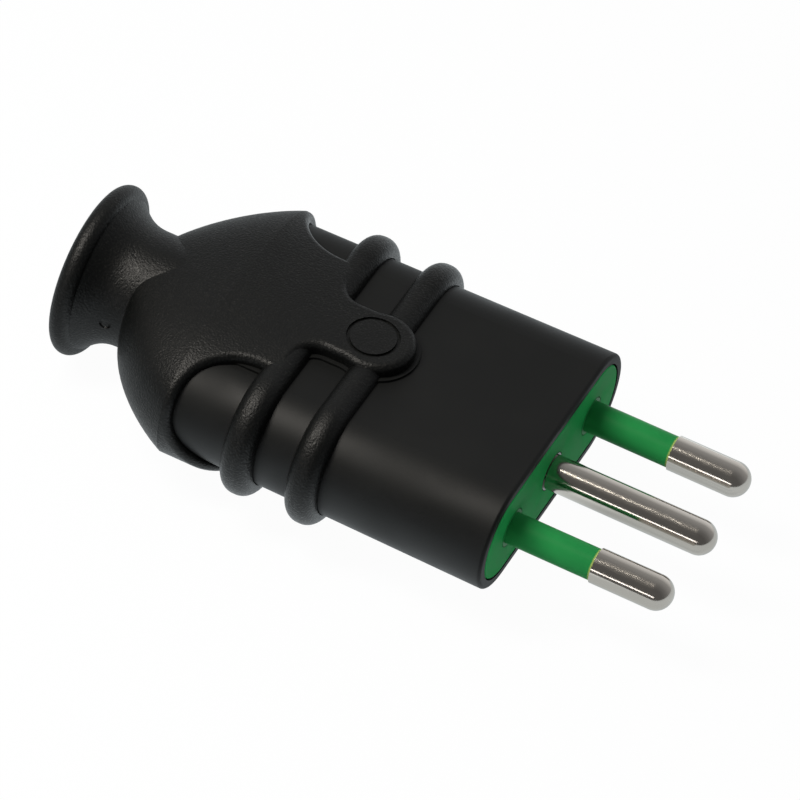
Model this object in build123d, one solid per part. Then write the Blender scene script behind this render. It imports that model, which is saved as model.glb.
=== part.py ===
"""Heavy-duty plug with three round pins in line, wired by hand.

All sizes are in mm. The origin is the middle of the engagement face. X runs along the
pins towards their tips, Y runs across the three pins and Z points up.
"""
import os
from math import asin, cos, pi, radians, sin, tan

from build123d import *

# Pins
pin_radius = 2.0
pin_pitch = 9.5
pin_reach = 19.0
earth_lead = 0.5
pin_shoulder = 0.2
sleeve_reach = 10.0
sleeve_root = 3.0
sleeve_wall = 0.4
sleeve_step = 0.2
head_size = 6.4
head_length = 9.0
head_round = 0.5
wire_bore_radius = 1.6
wire_bore_depth = 7.0

# Terminal screws
terminal_screw_radius = 1.5
terminal_head_radius = 2.3
terminal_head_height = 1.2

# Pin retainer and its screws
wire_room = 0.2
post_width = 4.0
post_height = 3.8
retainer_screw_radius = 1.1
retainer_screw_bite = 3.2
retainer_head_radius = 1.9
retainer_head_height = 1.1

# Cord and its clamp
cord_radius = 4.0
cord_room = 0.4
clamp_squeeze = 0.4
clamp_depth = 6.0
clamp_arch_wall = 1.1
clamp_ear_height = 2.4
clamp_screw_radius = 1.5
clamp_head_radius = 2.6
clamp_head_height = 1.6
clamp_nut_size = 5.5
clamp_nut_height = 1.8
clamp_nut_cover = 1.5

# Body screw, from the underside
body_screw_radius = 1.5
body_screw_bite = 3.6
body_head_radius = 2.7
body_head_height = 1.1
body_boss_wall = 1.3
boss_standoff = 0.9
clamp_standoff = 0.4

# Pin carrier
flange_depth = 5.0
face_round = 0.25

# Front shell
rim_wall = 1.1
cavity_wall = 1.6
side_room = 2.7
tail_room = 0.8
tail_wall = 1.2
tail_flat = 0.12
shell_draft = 0.75
rim_round = 0.4
land_rise = 0.3
land_margin = 0.5

# Rubber grip
grip_wall = 1.79
grip_side_wall = 1.56
neck_wall = 1.25
neck_length = 1.0
neck_reach = 4.0
neck_overlap = 0.77
dome_length = 15.0
dome_fullness = 1.62
dome_squareness = 3.15
dome_top_taper = 1.3
dome_lip = 1.0
dome_edge_to_rib = 8.4
edge_to_dome_front = 3.6
shield_half_width = 9.3
shield_lap = 0.6
shield_corner_round = 6.5
shield_neck_round = 2.5
grip_edge_round = 0.8
window_end_rise = 2.8
window_end_round = 7.0
window_end_lean = 50.0
boss_radius = 4.3
boss_step = 0.35
boss_blend = 3.0
boss_ring_radius = 2.75
boss_ring_width = 0.4
boss_ring_depth = 0.25
boss_ring_setback = 0.5
rib_pitch = 7.8
rib_lead = 0.6
rib_width = 3.6
rib_side_rise = 1.7
rib_top_rise = 1.15
rib_round = 1.65

# Flared collar at the cord end of the grip
flare_length = 4.1
bore_run = 2.8
lip_radius = 1.2
lip_rise = 1.9
lip_mouth_angle = 250.0
flare_angle = 5.0

# Clearances
pin_gap = 0.1
sleeve_gap = 0.05
screw_gap = 0.1
head_gap = 0.3
carrier_gap = 0.15
tray_gap = 0.3
retainer_gap = 0.2
nut_gap = 0.1
overmould_gap = 0.1
recess_gap = 0.35

# Heights and widths that follow from what the shell has to hold
clamp_bore_radius = cord_radius - clamp_squeeze
clamp_arch_radius = clamp_bore_radius + clamp_arch_wall
tray_half_height = max(head_size / 2 + terminal_head_height, clamp_arch_radius)
cavity_half_height = tray_half_height + tray_gap
cavity_half_width = pin_pitch + head_size / 2 + side_room
shell_half_height = cavity_half_height + cavity_wall
shell_half_width = cavity_half_width + cavity_wall
tray_half_width = cavity_half_width - tray_gap
chamber_width = head_size + 2 * head_gap
shoulder_radius = pin_radius + pin_shoulder
sleeve_radius = pin_radius - sleeve_step
sleeve_bore = sleeve_radius - sleeve_wall
floor_z = -head_size / 2
post_top = floor_z + post_height
post_y = pin_pitch / 2
retainer_half_width = pin_pitch + head_size / 2
retainer_depth = 2 * (retainer_head_radius + retainer_gap)
nut_floor = -clamp_nut_cover - nut_gap - clamp_nut_height
clamp_screw_y = clamp_arch_radius + clamp_head_radius + screw_gap
clamp_ear_half_width = clamp_screw_y + clamp_head_radius
grip_half_height = shell_half_height + grip_wall
grip_half_width = shell_half_width + grip_side_wall
cord_bore_radius = cord_radius + cord_room
tail_radius = cord_bore_radius + tail_wall
neck_radius = tail_radius + neck_wall
dome_root_radius = neck_radius - neck_overlap
body_boss_radius = body_screw_radius + body_boss_wall
body_boss_top = body_screw_bite - tray_half_height
shield_neck_half_width = boss_radius - boss_step

# Places along X, from the engagement face to the cord end
chamber_front = -flange_depth
head_rear = chamber_front - head_length
screw_x = head_rear + head_length / 2
retainer_rear = head_rear - retainer_depth
retainer_x = head_rear - retainer_depth / 2
boss_x = retainer_rear - boss_standoff - body_boss_radius
clamp_front = boss_x - body_boss_radius - clamp_standoff
clamp_x = clamp_front - clamp_depth / 2
carrier_rear = clamp_front - clamp_depth
front_rib_x = boss_x + rib_lead
rear_rib_x = front_rib_x - rib_pitch
shield_front = rear_rib_x + shield_lap
dome_edge_x = rear_rib_x - dome_edge_to_rib
dome_front = dome_edge_x + edge_to_dome_front
shell_straight_end = min(carrier_rear, dome_edge_x) - tail_room
dome_rear = dome_front - dome_length
neck_rear = dome_rear - neck_length
shell_tail_end = neck_rear - neck_length
lip_x = neck_rear - flare_length - lip_radius
lip_rear = lip_x - lip_radius
lip_centre_radius = neck_radius + lip_rise
shield_share = (edge_to_dome_front + dome_lip) / dome_length

terminal_names = ("line", "earth", "neutral")
terminal_places = (pin_pitch, 0.0, -pin_pitch)
sleeved_names = ("line", "neutral")
side_names = ("left", "right")


def across(x):
    """Plane at x that looks along the pins, with its own x along Y and its own y along Z."""
    return Plane(origin=(x, 0, 0), x_dir=(0, 1, 0), z_dir=(1, 0, 0))


def oblong_bar(rear, front, half_width, half_height):
    """Bar with fully rounded sides, along X."""
    outline = across(rear) * SlotOverall(2 * half_width, 2 * half_height)
    return extrude(outline, front - rear)


def draft_loss(x):
    """How much the shell has narrowed on each side at x."""
    return -x * tan(radians(shell_draft))


def drafted_bar(half_width, half_height):
    """The shell's straight length: a bar with rounded sides that narrows from the face backwards."""
    face = Plane(origin=(0, 0, 0), x_dir=(0, 1, 0), z_dir=(-1, 0, 0))
    return extrude(face * SlotOverall(2 * half_width, 2 * half_height), -shell_straight_end, taper=shell_draft)


def rod(rear, front, radius, y=0.0):
    """Round bar along X."""
    return extrude(across(rear) * Pos(y, 0) * Circle(radius), front - rear)


def post(x, y, low, high, radius):
    """Round bar along Z."""
    return Pos(x, y, low) * Cylinder(radius, high - low, align=(Align.CENTER, Align.CENTER, Align.MIN))


def block(rear, front, half_width, low, high, y=0.0):
    """Square bar between two places on X and two heights."""
    size = (front - rear, 2 * half_width, high - low)
    return Pos(rear, y, low) * Box(*size, align=(Align.MIN, Align.CENTER, Align.MIN))


def cheese_screw(x, y, seat, bite, shank_radius, head_radius, head_height):
    """Slotted screw that points down, with its head seated at the given height."""
    slot_width = head_radius / 4
    slot_depth = head_height / 2
    screw = post(x, y, seat - bite, seat, shank_radius)
    screw += post(x, y, seat, seat + head_height, head_radius)
    slot_low = seat + head_height - slot_depth
    screw -= block(x - head_radius, x + head_radius, slot_width / 2, slot_low, seat + head_height, y)
    return screw


def corners_at(plan, x, y):
    """The pair of corners of a symmetric outline at x and plus or minus y."""
    near_x = plan.vertices().filter_by_position(Axis.X, x - 0.01, x + 0.01)
    return [corner for corner in near_x if abs(abs(corner.Y) - y) < 0.01]


def shield_plan():
    """Top view of the shield, its neck and its round boss, from the cord end forwards."""
    corners = [
        (lip_rear, shield_half_width),
        (shield_front, shield_half_width),
        (shield_front, shield_neck_half_width),
        (boss_x, shield_neck_half_width),
    ]
    mirrored = [(x, -y) for x, y in reversed(corners)]
    plan = make_face(Polyline(*corners, *mirrored, close=True))
    plan = fillet(corners_at(plan, shield_front, shield_neck_half_width), shield_neck_round)
    plan += Pos(boss_x, 0) * Circle(boss_radius)
    junction_x = boss_x - (boss_radius ** 2 - shield_neck_half_width ** 2) ** 0.5
    return fillet(corners_at(plan, junction_x, shield_neck_half_width), boss_blend)


def grip_plan():
    """Top view of the grip: the shield, and the whole dome behind it."""
    dome_size = (dome_edge_x - lip_rear, 4 * grip_half_width)
    plan = shield_plan() + Pos(lip_rear, 0) * Rectangle(*dome_size, align=(Align.MIN, Align.CENTER))
    return fillet(corners_at(plan, dome_edge_x, shield_half_width), shield_corner_round)


def lower_grip_block():
    """Space behind the side windows' lower ends, which lean forwards on their way down."""
    bend = JernArc((dome_edge_x, window_end_rise), (0, -1), window_end_round, window_end_lean)
    slope_end = bend @ 1 + (bend % 1) * (2 * grip_half_height)
    outline = [
        bend,
        Line(bend @ 1, slope_end),
        Polyline(slope_end, (lip_rear, slope_end.Y), (lip_rear, window_end_rise), bend @ 0),
    ]
    return extrude(Plane.XZ * make_face(outline), 2 * grip_half_width, both=True)


def grip_land(gap):
    """Raised land on the shell under the grip and a little beyond it, grown by a gap."""
    prism = extrude(offset(shield_plan(), land_margin + gap), grip_half_height, both=True)
    bar_width = shell_half_width + land_rise + gap
    bar_height = shell_half_height + land_rise + gap
    return prism & drafted_bar(bar_width, bar_height)


def shell_envelope(gap):
    """Outside of the shell, grown by a gap."""
    half_width = shell_half_width + gap
    half_height = shell_half_height + gap
    radius = tail_radius + gap
    envelope = drafted_bar(half_width, half_height)
    loss = draft_loss(shell_straight_end)
    tail_sections = [
        across(shell_straight_end) * SlotOverall(2 * (half_width - loss), 2 * (half_height - loss)),
        across(dome_rear) * SlotOverall(2 * radius + tail_flat, 2 * radius),
    ]
    envelope += loft(tail_sections)
    envelope += oblong_bar(shell_tail_end - gap, dome_rear, radius + tail_flat / 2, radius)
    return envelope


def make_front_shell():
    shell = shell_envelope(0)
    front_edges = shell.faces().sort_by(Axis.X)[-1].edges()
    shell = fillet(front_edges, rim_round)
    shell += grip_land(0)
    mouth = oblong_bar(-flange_depth, 0, shell_half_width - rim_wall, shell_half_height - rim_wall)
    cavity = oblong_bar(shell_straight_end, 0, cavity_half_width, cavity_half_height)
    funnel_sections = [
        across(shell_straight_end) * SlotOverall(2 * cavity_half_width, 2 * cavity_half_height),
        across(dome_rear) * SlotOverall(2 * cord_bore_radius + tail_flat, 2 * cord_bore_radius),
    ]
    shell -= mouth + cavity + loft(funnel_sections)
    shell -= rod(shell_tail_end, dome_rear + tail_wall, cord_bore_radius)
    shell -= post(boss_x, 0, -2 * shell_half_height, 0, body_screw_radius + screw_gap)
    return shell


def dome_half_height(share):
    """Half height of the dome at a share of its length from the front."""
    return dome_root_radius + (grip_half_height - dome_root_radius) * (1 - share ** 2) ** dome_top_taper


def dome_section(share):
    """Section of the dome at a share of its length from the front, from oblong to round."""
    bulge = (1 - share ** dome_fullness) ** (1 / dome_fullness)
    half_width = dome_root_radius + (grip_half_width - dome_root_radius) * bulge
    half_height = dome_half_height(share)
    power = 2 / (2 + (dome_squareness - 2) * (1 - share))
    point_count = 24
    points = []
    for index in range(point_count):
        turn = pi / 2 + 2 * pi * (index + 0.5) / point_count
        y = half_width * abs(cos(turn)) ** power * (1 if cos(turn) > 0 else -1)
        z = half_height * abs(sin(turn)) ** power * (1 if sin(turn) > 0 else -1)
        points.append((y, z))
    return across(dome_front - share * dome_length) * make_face(Spline(*points, periodic=True))


def make_dome():
    """Domed rear and the shields that reach forward from it, as one solid."""
    section_count = 9
    first_turn = asin(shield_share)
    step = (pi / 2 - first_turn) / (section_count - 1)
    sections = [dome_section(sin(first_turn + step * index)) for index in range(section_count)]
    shield_length = boss_x + boss_radius + grip_wall - dome_edge_x + dome_lip
    return loft(sections) + extrude(sections[0], shield_length)


def make_collar():
    """Neck and flared collar, turned about the cord's axis."""
    def on_lip(angle):
        return Vector(lip_x, lip_centre_radius) + Vector(lip_radius, 0).rotate(Axis.Z, angle)

    flare_end = on_lip(flare_angle)
    mouth_start = on_lip(lip_mouth_angle)
    neck_start = Vector(dome_rear + neck_reach, neck_radius)
    flare_start = Vector(neck_rear, neck_radius)
    bore_start = Vector(dome_rear + neck_reach, cord_bore_radius)
    bore_end = Vector(neck_rear - bore_run, cord_bore_radius)
    outline = [
        Line(neck_start, flare_start),
        Spline(flare_start, flare_end, tangents=[(-1, 0), (-1, 1)]),
        ThreePointArc(flare_end, on_lip((flare_angle + lip_mouth_angle) / 2), mouth_start),
        Spline(mouth_start, bore_end, tangents=[(1, -1), (1, 0)]),
        Line(bore_end, bore_start),
        Line(bore_start, neck_start),
    ]
    return revolve(Plane.XZ * make_face(outline), Axis.X)


def make_rib(x):
    """Round-backed rib that runs all the way round the shell."""
    half_width = shell_half_width + rib_side_rise
    half_height = shell_half_height + rib_top_rise
    rib = oblong_bar(x - rib_width / 2, x + rib_width / 2, half_width, half_height)
    side_edges = rib.faces().filter_by(GeomType.PLANE).filter_by(Axis.X).edges()
    return fillet(side_edges, rib_round)


def outer_wall_edges(grip):
    """Edges where the walls of the shield and dome meet their outer surface."""
    skins = grip.faces().filter_by(GeomType.EXTRUSION)
    return [edge for edge in skins.edges() if edge.center().X > dome_edge_x - dome_lip / 2]


def make_rubber_grip():
    grip = make_dome() & (extrude(grip_plan(), 2 * grip_half_height, both=True) + lower_grip_block())
    grip = fillet(outer_wall_edges(grip), grip_edge_round)
    for rib_x in (front_rib_x, rear_rib_x):
        grip += make_rib(rib_x)
    grip += make_collar()
    grip = grip - shell_envelope(overmould_gap) - grip_land(overmould_gap)
    grip -= post(boss_x, 0, -2 * grip_half_height, 0, body_head_radius + recess_gap)
    ring_floor = dome_half_height(shield_share) - boss_ring_depth
    ring_x = boss_x - boss_ring_setback
    ring = post(ring_x, 0, ring_floor, 2 * grip_half_height, boss_ring_radius + boss_ring_width / 2)
    ring -= post(ring_x, 0, ring_floor, 2 * grip_half_height, boss_ring_radius - boss_ring_width / 2)
    return grip - ring


def shoulder_front(sleeved):
    """Where the thicker root of a pin ends: behind its sleeve, or at the face."""
    return -sleeve_root if sleeved else 0


def make_pin(y, reach, sleeved):
    """Round pin with a square, bored terminal head behind the face."""
    tip_start = reach - pin_radius
    shaft = rod(chamber_front, tip_start, pin_radius, y)
    shaft += Pos(tip_start, y, 0) * Sphere(pin_radius)
    if sleeved:
        shaft -= rod(-sleeve_root, sleeve_reach, 2 * pin_radius, y)
        shaft += rod(-sleeve_root, sleeve_reach, sleeve_bore - sleeve_gap, y)
    shaft += rod(chamber_front, shoulder_front(sleeved), shoulder_radius, y)
    head = block(head_rear, chamber_front, head_size / 2, floor_z, head_size / 2, y)
    head = fillet(head.edges().filter_by(Axis.X), head_round)
    pin = shaft + head
    pin -= rod(head_rear, head_rear + wire_bore_depth, wire_bore_radius, y)
    pin -= post(screw_x, y, 0, head_size, terminal_screw_radius + screw_gap)
    return pin


def make_pin_sleeve(y):
    """Sleeve with a wider root that fills its hole in the carrier."""
    sleeve = rod(-sleeve_root, sleeve_reach, sleeve_radius, y)
    sleeve += rod(-sleeve_root, 0, shoulder_radius, y)
    return sleeve - rod(-sleeve_root, sleeve_reach, sleeve_bore, y)


def make_terminal_screw(y):
    seat = head_size / 2
    bite = seat
    sizes = (terminal_screw_radius, terminal_head_radius, terminal_head_height)
    return cheese_screw(screw_x, y, seat, bite, *sizes)


def make_pin_carrier():
    half_width = shell_half_width - rim_wall - carrier_gap
    half_height = shell_half_height - rim_wall - carrier_gap
    flange = oblong_bar(-flange_depth, 0, half_width, half_height)
    flange = fillet(flange.faces().sort_by(Axis.X)[-1].edges(), face_round)
    tray = oblong_bar(carrier_rear, -flange_depth, tray_half_width, tray_half_height)
    carrier = flange + tray
    top = 2 * tray_half_height
    for y in terminal_places:
        carrier -= block(head_rear, chamber_front, chamber_width / 2, floor_z, top, y)
        carrier -= rod(chamber_front, 0, shoulder_radius + pin_gap, y)
    carrier -= block(clamp_front, head_rear, tray_half_width, floor_z, top)
    carrier -= block(carrier_rear, clamp_front, tray_half_width, 0, top)
    carrier -= rod(carrier_rear, clamp_front, clamp_bore_radius)
    for y in (post_y, -post_y):
        carrier += block(retainer_rear, head_rear, post_width / 2, floor_z, post_top, y)
        carrier -= post(retainer_x, y, post_top - retainer_screw_bite, top, retainer_screw_radius + screw_gap)
    carrier += post(boss_x, 0, floor_z, body_boss_top, body_boss_radius)
    carrier -= post(boss_x, 0, -tray_half_height, body_boss_top, body_screw_radius + screw_gap)
    for side in (1, -1):
        carrier -= post(clamp_x, side * clamp_screw_y, -tray_half_height, 0, clamp_screw_radius + screw_gap)
        carrier -= make_nut_slot(side)
    return carrier


def make_nut_slot(side):
    """Slot in the side of the tray that a clamp nut slides into."""
    half_size = clamp_nut_size / 2 + nut_gap
    inner = clamp_screw_y - half_size
    half_width = (tray_half_width - inner) / 2
    middle = side * (inner + half_width)
    return block(clamp_x - half_size, clamp_x + half_size, half_width, nut_floor, -clamp_nut_cover, middle)


def make_pin_retainer():
    """Bar behind the pin heads, notched over two posts of the tray."""
    retainer = block(retainer_rear, head_rear, retainer_half_width, floor_z, head_size / 2)
    for y in terminal_places:
        retainer -= rod(retainer_rear, head_rear, wire_bore_radius + wire_room, y)
    for y in (post_y, -post_y):
        retainer -= block(retainer_rear, head_rear, post_width / 2 + retainer_gap, floor_z, post_top, y)
        retainer -= post(retainer_x, y, floor_z, head_size, retainer_screw_radius + screw_gap)
    return retainer


def make_retainer_screw(side):
    seat = head_size / 2
    bite = seat - post_top + retainer_screw_bite
    sizes = (retainer_screw_radius, retainer_head_radius, retainer_head_height)
    return cheese_screw(retainer_x, side * post_y, seat, bite, *sizes)


def make_cord_clamp_bar():
    """Saddle over the cord: an arch between two flat ears."""
    ears = Pos(0, clamp_ear_height / 2) * Rectangle(2 * clamp_ear_half_width, clamp_ear_height)
    upper_half = Pos(0, clamp_arch_radius) * Rectangle(2 * clamp_arch_radius, 2 * clamp_arch_radius)
    profile = ears + (Circle(clamp_arch_radius) & upper_half) - Circle(clamp_bore_radius)
    bar = extrude(across(carrier_rear) * profile, clamp_depth)
    for side in (1, -1):
        bar -= post(clamp_x, side * clamp_screw_y, 0, clamp_ear_height, clamp_screw_radius + screw_gap)
    return bar


def make_clamp_screw(side):
    bite = clamp_ear_height - nut_floor
    sizes = (clamp_screw_radius, clamp_head_radius, clamp_head_height)
    return cheese_screw(clamp_x, side * clamp_screw_y, clamp_ear_height, bite, *sizes)


def make_clamp_nut(side):
    """Square nut that stands on the floor of its slot."""
    y = side * clamp_screw_y
    half_size = clamp_nut_size / 2
    top = nut_floor + clamp_nut_height
    nut = block(clamp_x - half_size, clamp_x + half_size, half_size, nut_floor, top, y)
    return nut - post(clamp_x, y, nut_floor, top, clamp_screw_radius + screw_gap)


def make_body_screw():
    """Screw from the underside, through the shell and into the boss of the carrier."""
    seat = shell_half_height + land_rise - draft_loss(boss_x + body_head_radius)
    sizes = (body_screw_radius, body_head_radius, body_head_height)
    return Rot(180, 0, 0) * cheese_screw(boss_x, 0, seat, seat + body_boss_top, *sizes)


def make_parts():
    parts = {
        "front_shell": make_front_shell(),
        "rubber_grip": make_rubber_grip(),
        "pin_carrier": make_pin_carrier(),
        "pin_retainer": make_pin_retainer(),
        "cord_clamp_bar": make_cord_clamp_bar(),
        "body_screw": make_body_screw(),
    }
    for name, y in zip(terminal_names, terminal_places):
        sleeved = name in sleeved_names
        reach = pin_reach if sleeved else pin_reach + earth_lead
        parts[name + "_pin"] = make_pin(y, reach, sleeved)
        parts[name + "_terminal_screw"] = make_terminal_screw(y)
        if sleeved:
            parts[name + "_pin_sleeve"] = make_pin_sleeve(y)
    for name, side in zip(side_names, (1, -1)):
        parts[name + "_retainer_screw"] = make_retainer_screw(side)
        parts[name + "_clamp_screw"] = make_clamp_screw(side)
        parts[name + "_clamp_nut"] = make_clamp_nut(side)
    return parts


os.makedirs("parts", exist_ok=True)
for part_name, solid in make_parts().items():
    export_step(solid, "parts/" + part_name + ".step")
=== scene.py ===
# %% [markdown]
# # A heavy-duty plug with a rubber grip
#
# The real thing is a plug that is wired by hand. A smooth black shell holds a green insert
# with three round pins, and a soft grip is moulded over the back of it. The shapes come from
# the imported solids, so this lesson is about finishes: how each plastic, rubber and metal is
# built from nodes, and how plain light shows them.

# %% Load the solids
import math

import bmesh
import bpy
from mathutils import Matrix, Vector


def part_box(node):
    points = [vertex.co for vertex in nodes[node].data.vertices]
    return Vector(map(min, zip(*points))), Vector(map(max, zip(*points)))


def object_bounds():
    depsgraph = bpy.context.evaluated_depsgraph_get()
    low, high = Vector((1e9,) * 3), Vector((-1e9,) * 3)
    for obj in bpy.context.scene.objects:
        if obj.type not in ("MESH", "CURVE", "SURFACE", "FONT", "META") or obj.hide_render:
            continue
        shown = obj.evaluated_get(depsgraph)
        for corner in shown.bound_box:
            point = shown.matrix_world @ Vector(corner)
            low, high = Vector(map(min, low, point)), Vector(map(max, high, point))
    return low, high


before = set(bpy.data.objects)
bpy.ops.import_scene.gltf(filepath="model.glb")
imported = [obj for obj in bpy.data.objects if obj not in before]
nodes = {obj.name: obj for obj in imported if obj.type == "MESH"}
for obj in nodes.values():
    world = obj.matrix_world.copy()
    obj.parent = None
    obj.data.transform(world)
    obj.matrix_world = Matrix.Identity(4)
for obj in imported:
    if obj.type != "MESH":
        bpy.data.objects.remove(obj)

MM = 0.001
cad_low, cad_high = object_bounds()


def in_mm(lengths, digits=1):
    """Lengths in metres as rounded millimetres, for printing."""
    return [round(length / MM, digits) for length in lengths]


print("solids loaded:", len(nodes), "box in mm:", in_mm(cad_high - cad_low))

# %% [markdown]
# ## Start of a finish
#
# Every finish below starts the same way: an empty node tree with one Principled shader. Wiring
# nodes one by one takes a line for each value and each link, and that hides the recipe. So one
# helper adds a node with all its inputs by name. A plain value is set on the socket, and the
# output of another node is linked to it.

# %% Helpers that start a finish
def set_inputs(tree, node, inputs):
    """Plain values go on the named or numbered inputs, and other nodes' outputs are linked."""
    for name, value in inputs.items():
        if isinstance(value, bpy.types.NodeSocket):
            tree.links.new(value, node.inputs[name])
        else:
            node.inputs[name].default_value = value


def add_node(tree, kind, inputs=None, **settings):
    """A new node with its settings and inputs."""
    node = tree.nodes.new(kind)
    for name, value in settings.items():
        setattr(node, name, value)
    set_inputs(tree, node, inputs or {})
    return node


def start_material(name):
    """A material with an empty node tree."""
    finish = bpy.data.materials.new(name)
    finish.use_nodes = True
    finish.node_tree.nodes.clear()
    return finish, finish.node_tree


def start_finish(name):
    """A material with a Principled shader, its output, and the piece's own Object coordinates."""
    finish, tree = start_material(name)
    shader = add_node(tree, "ShaderNodeBsdfPrincipled")
    add_node(tree, "ShaderNodeOutputMaterial", {"Surface": shader.outputs["BSDF"]})
    place = add_node(tree, "ShaderNodeTexCoord")
    return finish, tree, shader, place.outputs["Object"]


print("helpers ready: set_inputs, add_node, start_material, start_finish")

# %% [markdown]
# ## Shares, colours and sums
#
# A finish mostly says how a colour or a number changes over the surface. Something is measured,
# that is turned into a share from 0 to 1, and the share picks a place between two colours or two
# numbers. Each of these steps is one node, so each gets one small helper.

# %% Helpers that measure and mix
def share_between(tree, value, low, high, easing="LINEAR"):
    """A share that goes from 0 to 1 as the value goes from low to high."""
    limits = {"Value": value, "From Min": low, "From Max": high}
    return add_node(tree, "ShaderNodeMapRange", limits, interpolation_type=easing).outputs["Result"]


def value_between(tree, share, first, second):
    """A number that goes from the first to the second as share goes from 0 to 1."""
    limits = {"Value": share, "To Min": first, "To Max": second}
    return add_node(tree, "ShaderNodeMapRange", limits).outputs["Result"]


def colour_between(tree, share, first, second):
    """A colour that goes from the first to the second as share goes from 0 to 1."""
    inputs = {"Factor": share}
    for name, colour in (("A", first), ("B", second)):
        inputs[name] = (*colour, 1) if isinstance(colour, tuple) else colour
    return add_node(tree, "ShaderNodeMix", inputs, data_type="RGBA").outputs["Result"]


def calculate(tree, operation, *values):
    """The result of a Math node on its values."""
    sums = add_node(tree, "ShaderNodeMath", dict(enumerate(values)), operation=operation)
    return sums.outputs["Value"]


print("helpers ready: share_between, value_between, colour_between, calculate")

# %% [markdown]
# ## Moulded grain
#
# A mould is never perfectly smooth: it is spark eroded or polished, and its surface is printed
# into every part. The shell, the grip and the insert all show that, at different sizes. An image
# of grain would need a map and would stretch, so the grain is one node group that is placed in
# each finish with its own grain size. It gives a height for the bump, a speckle that picks out
# single grains, and broad patches where hands have rubbed the surface.

# %% Node group for moulded grain
speckle_start = 0.52
speckle_full = 0.72
patch_start = 0.38
patch_full = 0.66


def make_grain_group():
    group = bpy.data.node_groups.new("moulded_grain", "ShaderNodeTree")
    for name, kind in (
        ("Place", "NodeSocketVector"),
        ("Grains per metre", "NodeSocketFloat"),
        ("Patches per metre", "NodeSocketFloat"),
    ):
        group.interface.new_socket(name, in_out="INPUT", socket_type=kind)
    for name in ("Height", "Speckle", "Patch"):
        group.interface.new_socket(name, in_out="OUTPUT", socket_type="NodeSocketFloat")
    given = add_node(group, "NodeGroupInput").outputs
    fine = {"Vector": given["Place"], "Scale": given["Grains per metre"]}
    broad = {"Vector": given["Place"], "Scale": given["Patches per metre"]}
    grain = add_node(group, "ShaderNodeTexNoise", {**fine, "Detail": 3.0, "Roughness": 0.62})
    pebble = add_node(group, "ShaderNodeTexVoronoi", fine, feature="SMOOTH_F1")
    patch = add_node(group, "ShaderNodeTexNoise", {**broad, "Detail": 2.0, "Roughness": 0.5})
    results = {
        "Height": calculate(group, "SUBTRACT", grain.outputs["Fac"], pebble.outputs["Distance"]),
        "Speckle": share_between(group, grain.outputs["Fac"], speckle_start, speckle_full),
        "Patch": share_between(group, patch.outputs["Fac"], patch_start, patch_full, "SMOOTHSTEP"),
    }
    add_node(group, "NodeGroupOutput", results)
    return group


grain_group = make_grain_group()
print("grain group sockets:", [item.name for item in grain_group.interface.items_tree])

# %% [markdown]
# ## Grain in a finish
#
# A texture's scale counts features per metre, but a maker thinks of a grain in millimetres, so a
# helper turns the one into the other. A second helper turns a height into a normal. A bump can
# lie on top of another bump, as fine grain lies on a pressed mark.

# %% Helpers that place the grain
def place_grain(tree, place, grain_size, patch_size):
    """The grain group's outputs in a finish, for a grain and a patch size in mm."""
    inputs = {
        "Place": place,
        "Grains per metre": 1 / (grain_size * MM),
        "Patches per metre": 1 / (patch_size * MM),
    }
    return add_node(tree, "ShaderNodeGroup", inputs, node_tree=grain_group).outputs


def bump_from(tree, height, depth, strength, under=None):
    """A normal from a height, for a depth in mm, on top of the normal under it if there is one."""
    inputs = {"Height": height, "Strength": strength, "Distance": depth * MM}
    if under is not None:
        inputs["Normal"] = under
    return add_node(tree, "ShaderNodeBump", inputs).outputs["Normal"]


print("helpers ready: place_grain, bump_from")

# %% [markdown]
# ## The smooth shell
#
# The shell is a rigid black plastic with a satin finish. Up close it is almost plain, so its
# grain is fine and shallow. What makes it read as plastic is a broad soft shine that changes a
# little from place to place, so the patches drive the roughness.

# %% Satin finish of the shell
shell_black = (0.0012, 0.0016, 0.0016)
shell_rubbed = (0.0021, 0.0026, 0.0026)


def make_shell_finish():
    finish, tree, shader, place = start_finish("shell_satin")
    grain = place_grain(tree, place, grain_size=0.14, patch_size=9.0)
    recipe = {
        "Base Color": colour_between(tree, grain["Patch"], shell_black, shell_rubbed),
        "Roughness": value_between(tree, grain["Patch"], 0.52, 0.60),
        "Normal": bump_from(tree, grain["Height"], depth=0.012, strength=0.25),
        "IOR": 1.33,
    }
    set_inputs(tree, shader, recipe)
    return finish


shell_satin = make_shell_finish()
print("made finish:", shell_satin.name)

# %% [markdown]
# ## The rubber grip
#
# The grip is a soft black rubber. Its mould was eroded to a coarser grain, and where light falls
# along it each grain catches a beige glint. The colour is therefore a dark base with a paler,
# browner tone on the speckle, stronger in the rubbed patches. That tone is partly the grain's own
# and partly a painted glint, there under any light. The neck also has the small round pit of a
# mould pin on its side. It is only a millimetre across, so it is pressed in as bump: the distance
# from its middle gives a round dip with a soft edge.

# %% Finish of the rubber
rubber_black = (0.0008, 0.0012, 0.0012)
# the pale speckle colour: partly the grain's own tone, partly a painted glint
rubber_grain_and_painted_glint = (0.0130, 0.0132, 0.0120)
glint_outside_patches = 0.6
pit_middle = Vector((-50.7, -6.9, 0.2)) * MM
pit_radius = 0.7 * MM
pit_floor_radius = 0.55 * pit_radius


def make_pit_height(tree, place):
    """Height of the mould pin's mark: a round dip with a soft edge."""
    apart = add_node(tree, "ShaderNodeVectorMath", {0: place, 1: pit_middle}, operation="DISTANCE")
    return share_between(tree, apart.outputs["Value"], pit_floor_radius, pit_radius, "SMOOTHSTEP")


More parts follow.
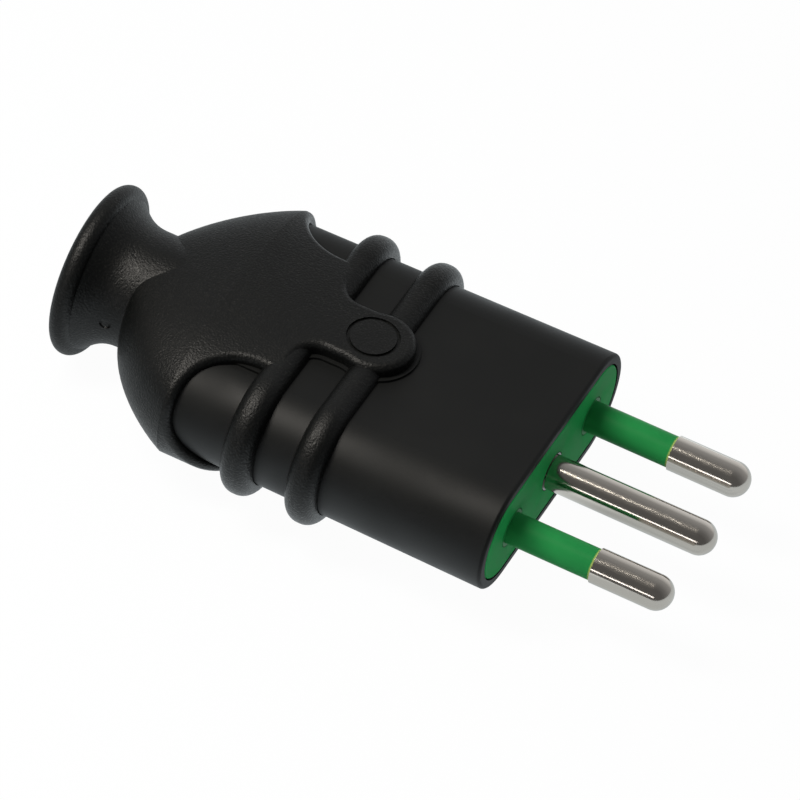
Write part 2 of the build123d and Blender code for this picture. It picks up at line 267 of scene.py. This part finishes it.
def make_rubber_finish():
    finish, tree, shader, place = start_finish("grip_rubber")
    grain = place_grain(tree, place, grain_size=0.22, patch_size=7.0)
    rubbed = value_between(tree, grain["Patch"], glint_outside_patches, 1.0)
    # where the pale speckle shows: grain tone and painted glint
    glint = calculate(tree, "MULTIPLY", grain["Speckle"], rubbed)
    pit = bump_from(tree, make_pit_height(tree, place), depth=0.5, strength=1.0)
    recipe = {
        "Base Color": colour_between(tree, glint, rubber_black, rubber_grain_and_painted_glint),
        "Roughness": value_between(tree, grain["Speckle"], 0.46, 0.28),
        "Normal": bump_from(tree, grain["Height"], depth=0.06, strength=0.7, under=pit),
        "IOR": 1.32,
    }
    set_inputs(tree, shader, recipe)
    return finish


grip_rubber = make_rubber_finish()
print("made finish:", grip_rubber.name, "pit at mm:", in_mm(pit_middle))

# %% [markdown]
# ## The green insert and sleeves
#
# The insert and the pin sleeves are moulded in one green plastic. The insert is dull, and the
# sleeves have more gloss. A gloss surface shows small waves in its reflections, so it gets a
# slow, shallow bump. The sleeves end in a sharp edge that the light goes through, which shows as
# a pale line. That line is painted light: a pale colour near the end of each sleeve. It is a
# function of the length along the pin, so the X of the Object coordinates drives it.

# %% Finishes of the green plastic
sleeve_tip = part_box("line_pin_sleeve")[1].x
edge_start = sleeve_tip - 0.28 * MM
edge_full = sleeve_tip - 0.12 * MM
# painted light: colour of the pale line where light goes through the sleeve's end
painted_edge_light = (0.36, 0.46, 0.13)
duller_in_patches = 1.25


def length_along(tree, place):
    """The length along the plug: X in metres."""
    return add_node(tree, "ShaderNodeSeparateXYZ", {"Vector": place}).outputs["X"]


def make_green_finish(name, pale_green, deep_green, shine, dullness, with_painted_edge_light=False):
    finish, tree, shader, place = start_finish(name)
    grain = place_grain(tree, place, grain_size=0.9, patch_size=5.0)
    colour = colour_between(tree, grain["Patch"], deep_green, pale_green)
    if with_painted_edge_light:
        # paint the pale line of light at the sleeve's end
        edge = share_between(tree, length_along(tree, place), edge_start, edge_full)
        colour = colour_between(tree, edge, colour, painted_edge_light)
    recipe = {
        "Base Color": colour,
        "Roughness": value_between(tree, grain["Patch"], dullness, duller_in_patches * dullness),
        "Normal": bump_from(tree, grain["Height"], depth=0.02, strength=0.12),
        "IOR": shine,
    }
    set_inputs(tree, shader, recipe)
    return finish


insert_green = make_green_finish(
    "insert_green",
    pale_green=(0.024, 0.390, 0.098),
    deep_green=(0.020, 0.340, 0.086),
    shine=1.1,
    dullness=0.5,
)
sleeve_green = make_green_finish(
    "sleeve_green",
    pale_green=(0.022, 0.262, 0.068),
    deep_green=(0.018, 0.232, 0.060),
    shine=1.12,
    dullness=0.34,
    with_painted_edge_light=True,
)
print("made finishes:", insert_green.name, sleeve_green.name)
print("sleeve ends at mm:", in_mm([sleeve_tip], 2))

# %% [markdown]
# ## Nickel pins and zinc screws
#
# The pins are turned brass with bright nickel on top. Nickel is a warm white metal, and what the
# eye reads on it is mostly the room. Handling leaves faint lengthwise streaks, so a noise that is
# stretched along the pin moves the roughness a little. Behind the insert's face the pin is painted
# dull and dark: painted shade in the fine gap round it, because a bright root would shine through
# that gap, and a mask along X gives it that tone. The screws are zinc plated, duller and a touch
# blue, and their noise is even in all directions.

# %% Metal finishes
face_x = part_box("pin_carrier")[1].x
gap_shade_end = face_x + 0.08 * MM
# painted shade: the dark colour of the pin's root in the fine gap behind the face
painted_gap_shade = (0.035, 0.040, 0.032)


def make_metal_finish(name, bright, dull, stretch, roughness, dull_roughness, with_painted_gap_shade=False):
    finish, tree, shader, place = start_finish(name)
    drawn = add_node(tree, "ShaderNodeMapping", {"Vector": place, "Scale": stretch})
    grain = place_grain(tree, drawn.outputs["Vector"], grain_size=0.25, patch_size=3.0)
    colour = colour_between(tree, grain["Patch"], bright, dull)
    if with_painted_gap_shade:
        # paint the shade in the gap: dark up to just past the face
        past_gap_shade = share_between(tree, length_along(tree, place), face_x, gap_shade_end)
        colour = colour_between(tree, past_gap_shade, painted_gap_shade, colour)
    recipe = {
        "Base Color": colour,
        "Roughness": value_between(tree, grain["Speckle"], roughness, dull_roughness),
        "Normal": bump_from(tree, grain["Height"], depth=0.004, strength=0.05),
        "Metallic": 1.0,
    }
    set_inputs(tree, shader, recipe)
    return finish


nickel = make_metal_finish(
    "bright_nickel",
    bright=(0.61, 0.57, 0.52),
    dull=(0.56, 0.52, 0.47),
    stretch=(0.12, 1.0, 1.0),
    roughness=0.13,
    dull_roughness=0.18,
    with_painted_gap_shade=True,
)
zinc = make_metal_finish(
    "zinc_plate",
    bright=(0.56, 0.57, 0.58),
    dull=(0.44, 0.45, 0.46),
    stretch=(1.0, 1.0, 1.0),
    roughness=0.30,
    dull_roughness=0.42,
)
print("made finishes:", nickel.name, zinc.name)

# %% [markdown]
# ## The parts inside
#
# The retainer and the cord clamp are never seen when the plug is closed, and they are moulded in
# a plain pale plastic. They still get a real finish, because this part may be opened or cut away
# in another scene.

# %% Plain finish of the inner parts
inner_grey = (0.52, 0.52, 0.49)
inner_cream = (0.60, 0.59, 0.55)


def make_inner_finish():
    finish, tree, shader, place = start_finish("inner_pale_plastic")
    grain = place_grain(tree, place, grain_size=0.3, patch_size=6.0)
    recipe = {
        "Base Color": colour_between(tree, grain["Patch"], inner_grey, inner_cream),
        "Roughness": value_between(tree, grain["Speckle"], 0.5, 0.6),
        "Normal": bump_from(tree, grain["Height"], depth=0.02, strength=0.3),
    }
    set_inputs(tree, shader, recipe)
    return finish


inner_pale = make_inner_finish()
print("made finish:", inner_pale.name)

# %% [markdown]
# ## Each solid gets its finish
#
# A solid keeps its mesh as packed, and only its material slot changes. The finish follows from
# what the piece is, so the list names the pieces in a maker's words.

# %% Assign the finishes
finish_of = {
    "front_shell": shell_satin,
    "rubber_grip": grip_rubber,
    "pin_carrier": insert_green,
    "pin_retainer": inner_pale,
    "cord_clamp_bar": inner_pale,
}
for name in nodes:
    if name.endswith("_sleeve"):
        finish_of[name] = sleeve_green
    elif name.endswith("_pin"):
        finish_of[name] = nickel
    elif name.endswith(("_screw", "_nut")):
        finish_of[name] = zinc

for name, piece in nodes.items():
    piece.data.materials.clear()
    piece.data.materials.append(finish_of[name])
print("finishes assigned:", {name: finish.name for name, finish in sorted(finish_of.items())})

# %% [markdown]
# ## A pale floor
#
# The plug lies on white. The floor is one flat sheet at the height of the plug's lowest point. It
# ends a little in front of the plug and goes on far behind it, where the camera looks.

# %% Floor
floor_half_length = 1.2
floor_half_depth = 0.63
floor_middle_y = 0.55


def make_floor():
    sheet = bmesh.new()
    bmesh.ops.create_grid(sheet, x_segments=1, y_segments=1, size=1.0)
    bmesh.ops.scale(sheet, vec=(floor_half_length, floor_half_depth, 1.0), verts=sheet.verts)
    bmesh.ops.translate(sheet, vec=(0, floor_middle_y, cad_low.z), verts=sheet.verts)
    mesh = bpy.data.meshes.new("floor")
    sheet.to_mesh(mesh)
    sheet.free()
    floor = bpy.data.objects.new("floor", mesh)
    bpy.context.scene.collection.objects.link(floor)
    return floor


floor = make_floor()
print("floor at mm:", in_mm([cad_low.z], 2))

# %% [markdown]
# ## Finish of the floor
#
# A floor that is lit until it clips would also wash out the plug. So the floor is a plain pale
# sheet, and only what the camera and the reflections see of it is lifted to white. A part of its
# real shade stays in the mix, and that part carries the soft shadow. The round side of the shell
# shows the floor brighter than the pins do, so a painted pool of light lies before the shell: the
# white glows brighter there, and only reflections see it. From below the sheet is clear, so that
# the underside can be seen too.

# %% White that keeps the shadow
floor_shade = (0.80, 0.86, 0.90)
mirror_tint = (0.90, 0.97, 1.0)
pure_white = (1, 1, 1)
mirror_share = 0.85
white_share = 0.97
pool_middle_x = -23 * MM
pool_core = 15 * MM
pool_reach = 28 * MM
painted_pool_level = 1.6
level_outside = 0.74


def shader_between(tree, share, first, second):
    """A shader that goes from the first to the second as share goes from 0 to 1."""
    mix = add_node(tree, "ShaderNodeMixShader", {"Fac": share, 1: first, 2: second})
    return mix.outputs["Shader"]


def make_white_level(tree, is_camera):
    """How bright the white is: 1 for the camera, and in reflections a painted pool of light that is
    brightest before the shell.
    """
    place = add_node(tree, "ShaderNodeTexCoord").outputs["Object"]
    # a painted pool of light: the white glows brighter in reflections before the shell
    offset = calculate(tree, "SUBTRACT", length_along(tree, place), pool_middle_x)
    outside = share_between(tree, calculate(tree, "ABSOLUTE", offset), pool_core, pool_reach)
    mirrored = value_between(tree, outside, painted_pool_level, level_outside)
    return value_between(tree, is_camera, mirrored, 1.0)


def make_floor_finish():
    finish, tree = start_material("pale_floor")
    rays = add_node(tree, "ShaderNodeLightPath").outputs
    is_camera = rays["Is Camera Ray"]
    mirrored = calculate(tree, "MULTIPLY", rays["Is Glossy Ray"], mirror_share)
    seen = calculate(tree, "MAXIMUM", is_camera, mirrored)
    sheet = add_node(tree, "ShaderNodeBsdfDiffuse", {"Color": (*floor_shade, 1)})
    glow = {
        "Color": colour_between(tree, is_camera, mirror_tint, pure_white),
        "Strength": make_white_level(tree, is_camera),
    }
    white = add_node(tree, "ShaderNodeEmission", glow)
    lift = calculate(tree, "MULTIPLY", seen, white_share)
    from_above = shader_between(tree, lift, sheet.outputs["BSDF"], white.outputs["Emission"])
    from_below = add_node(tree, "ShaderNodeBsdfTransparent").outputs["BSDF"]
    is_below = add_node(tree, "ShaderNodeNewGeometry").outputs["Backfacing"]
    surface = shader_between(tree, is_below, from_above, from_below)
    add_node(tree, "ShaderNodeOutputMaterial", {"Surface": surface})
    return finish


floor.data.materials.append(make_floor_finish())
print("floor finish:", floor.data.materials[0].name)

# %% [markdown]
# ## Lamps
#
# The highlights of the plug tell where the light is. The beige glints on the dome, the neck and
# the shell's round side all look up and a little to the left, so the lamp hangs there and is
# warm. The thin line along each pin looks forward, just above the horizon, and is a low strip.

# %% Two soft lamps
def add_lamp(name, aim, distance, width, height, power, colour):
    """A soft rectangular lamp that hangs in the aimed direction and looks at the plug."""
    lamp = bpy.data.lights.new(name, "AREA")
    lamp.shape = "RECTANGLE"
    lamp.size = width
    lamp.size_y = height
    lamp.energy = power
    lamp.color = colour
    holder = bpy.data.objects.new(name, lamp)
    middle = (cad_low + cad_high) / 2
    direction = Vector(aim).normalized()
    holder.location = middle + distance * direction
    holder.rotation_euler = direction.to_track_quat("Z", "Y").to_euler()
    holder.visible_camera = False
    bpy.context.scene.collection.objects.link(holder)


add_lamp(
    "warm_overhead",
    aim=(-0.44, -0.26, 0.86),
    distance=0.25,
    width=0.06,
    height=0.14,
    power=0.62,
    colour=(1.0, 0.95, 0.87),
)
add_lamp(
    "front_strip",
    aim=(-0.25, -0.95, 0.20),
    distance=0.8,
    width=0.9,
    height=0.05,
    power=0.70,
    colour=(1.0, 0.98, 0.97),
)
print("lamps:", [item.name for item in bpy.data.lights])

# %% [markdown]
# ## Room
#
# The pins brighten towards the back, so the room is brighter behind the plug than in front of it.
# The Y of the direction is turned into a share, and a colour ramp gives each share its shade. The
# camera itself sees plain white where the floor ends.

# %% Light of the room
front_y = -0.5
back_y = 1.0
front_shade = (0.12, 0.12, 0.12)
back_shade = (0.90, 0.91, 0.92)
middle_shades = {0.33: (0.20, 0.202, 0.204), 0.77: (0.38, 0.3838, 0.3876)}


def make_room():
    room = bpy.data.worlds.new("studio_room")
    room.use_nodes = True
    tree = room.node_tree
    tree.nodes.clear()
    around = add_node(tree, "ShaderNodeTexCoord").outputs["Generated"]
    direction = add_node(tree, "ShaderNodeSeparateXYZ", {"Vector": around})
    depth = share_between(tree, direction.outputs["Y"], front_y, back_y)
    shade = add_node(tree, "ShaderNodeValToRGB", {"Fac": depth})
    stops = shade.color_ramp.elements
    stops[0].color = (*front_shade, 1)
    stops[-1].color = (*back_shade, 1)
    for share, colour in middle_shades.items():
        stops.new(share).color = (*colour, 1)
    air = add_node(tree, "ShaderNodeBackground", {"Color": shade.outputs["Color"]})
    white = add_node(tree, "ShaderNodeBackground", {"Color": (*pure_white, 1)})
    is_camera = add_node(tree, "ShaderNodeLightPath").outputs["Is Camera Ray"]
    surface = shader_between(tree, is_camera, air.outputs["Background"], white.outputs["Background"])
    add_node(tree, "ShaderNodeOutputWorld", {"Surface": surface})
    return room


bpy.context.scene.world = make_room()
print("room:", bpy.context.scene.world.name)

# %% [markdown]
# ## Camera
#
# The photograph looks down on the plug from its near side with a long lens, a little rolled. The
# place and the turn were solved from the pins and the face, whose real sizes are known. A camera
# in Blender looks along its own -Z with +Y up, so the three directions right, up and back are
# written as the columns of its matrix.

# %% Camera at the photograph's angle
sensor_width = 36.0
photo_width = 800


def make_camera(azimuth, elevation, roll, shift_right, shift_up, distance, focal_pixels):
    """A camera from angles in degrees, lengths in mm and a focal length in pixels of the photo."""
    turn, lift, tilt = math.radians(azimuth), math.radians(elevation), math.radians(roll)
    back = Vector((math.sin(turn) * math.cos(lift), -math.cos(turn) * math.cos(lift), math.sin(lift)))
    level_right = Vector((math.cos(turn), math.sin(turn), 0))
    level_up = back.cross(level_right)
    right = math.cos(tilt) * level_right + math.sin(tilt) * level_up
    up = math.cos(tilt) * level_up - math.sin(tilt) * level_right
    eye = MM * (distance * back - shift_right * right - shift_up * up)
    camera_data = bpy.data.cameras.new("camera")
    camera_data.sensor_width = sensor_width
    camera_data.lens = sensor_width * focal_pixels / photo_width
    camera_data.clip_start = 0.05
    camera_data.clip_end = 20.0
    camera = bpy.data.objects.new("camera", camera_data)
    turned = Matrix((right, up, back)).transposed().to_4x4()
    camera.matrix_world = Matrix.Translation(eye) @ turned
    bpy.context.scene.collection.objects.link(camera)
    return camera


camera = make_camera(
    azimuth=21.41,
    elevation=46.636,
    roll=8.054,
    shift_right=16.2006,
    shift_up=-7.6077,
    distance=745.29,
    focal_pixels=6991.4,
)
bpy.context.scene.camera = camera
bpy.context.scene.view_settings.view_transform = "Standard"
print("camera at mm:", in_mm(camera.matrix_world.translation), "lens:", round(camera.data.lens, 1))
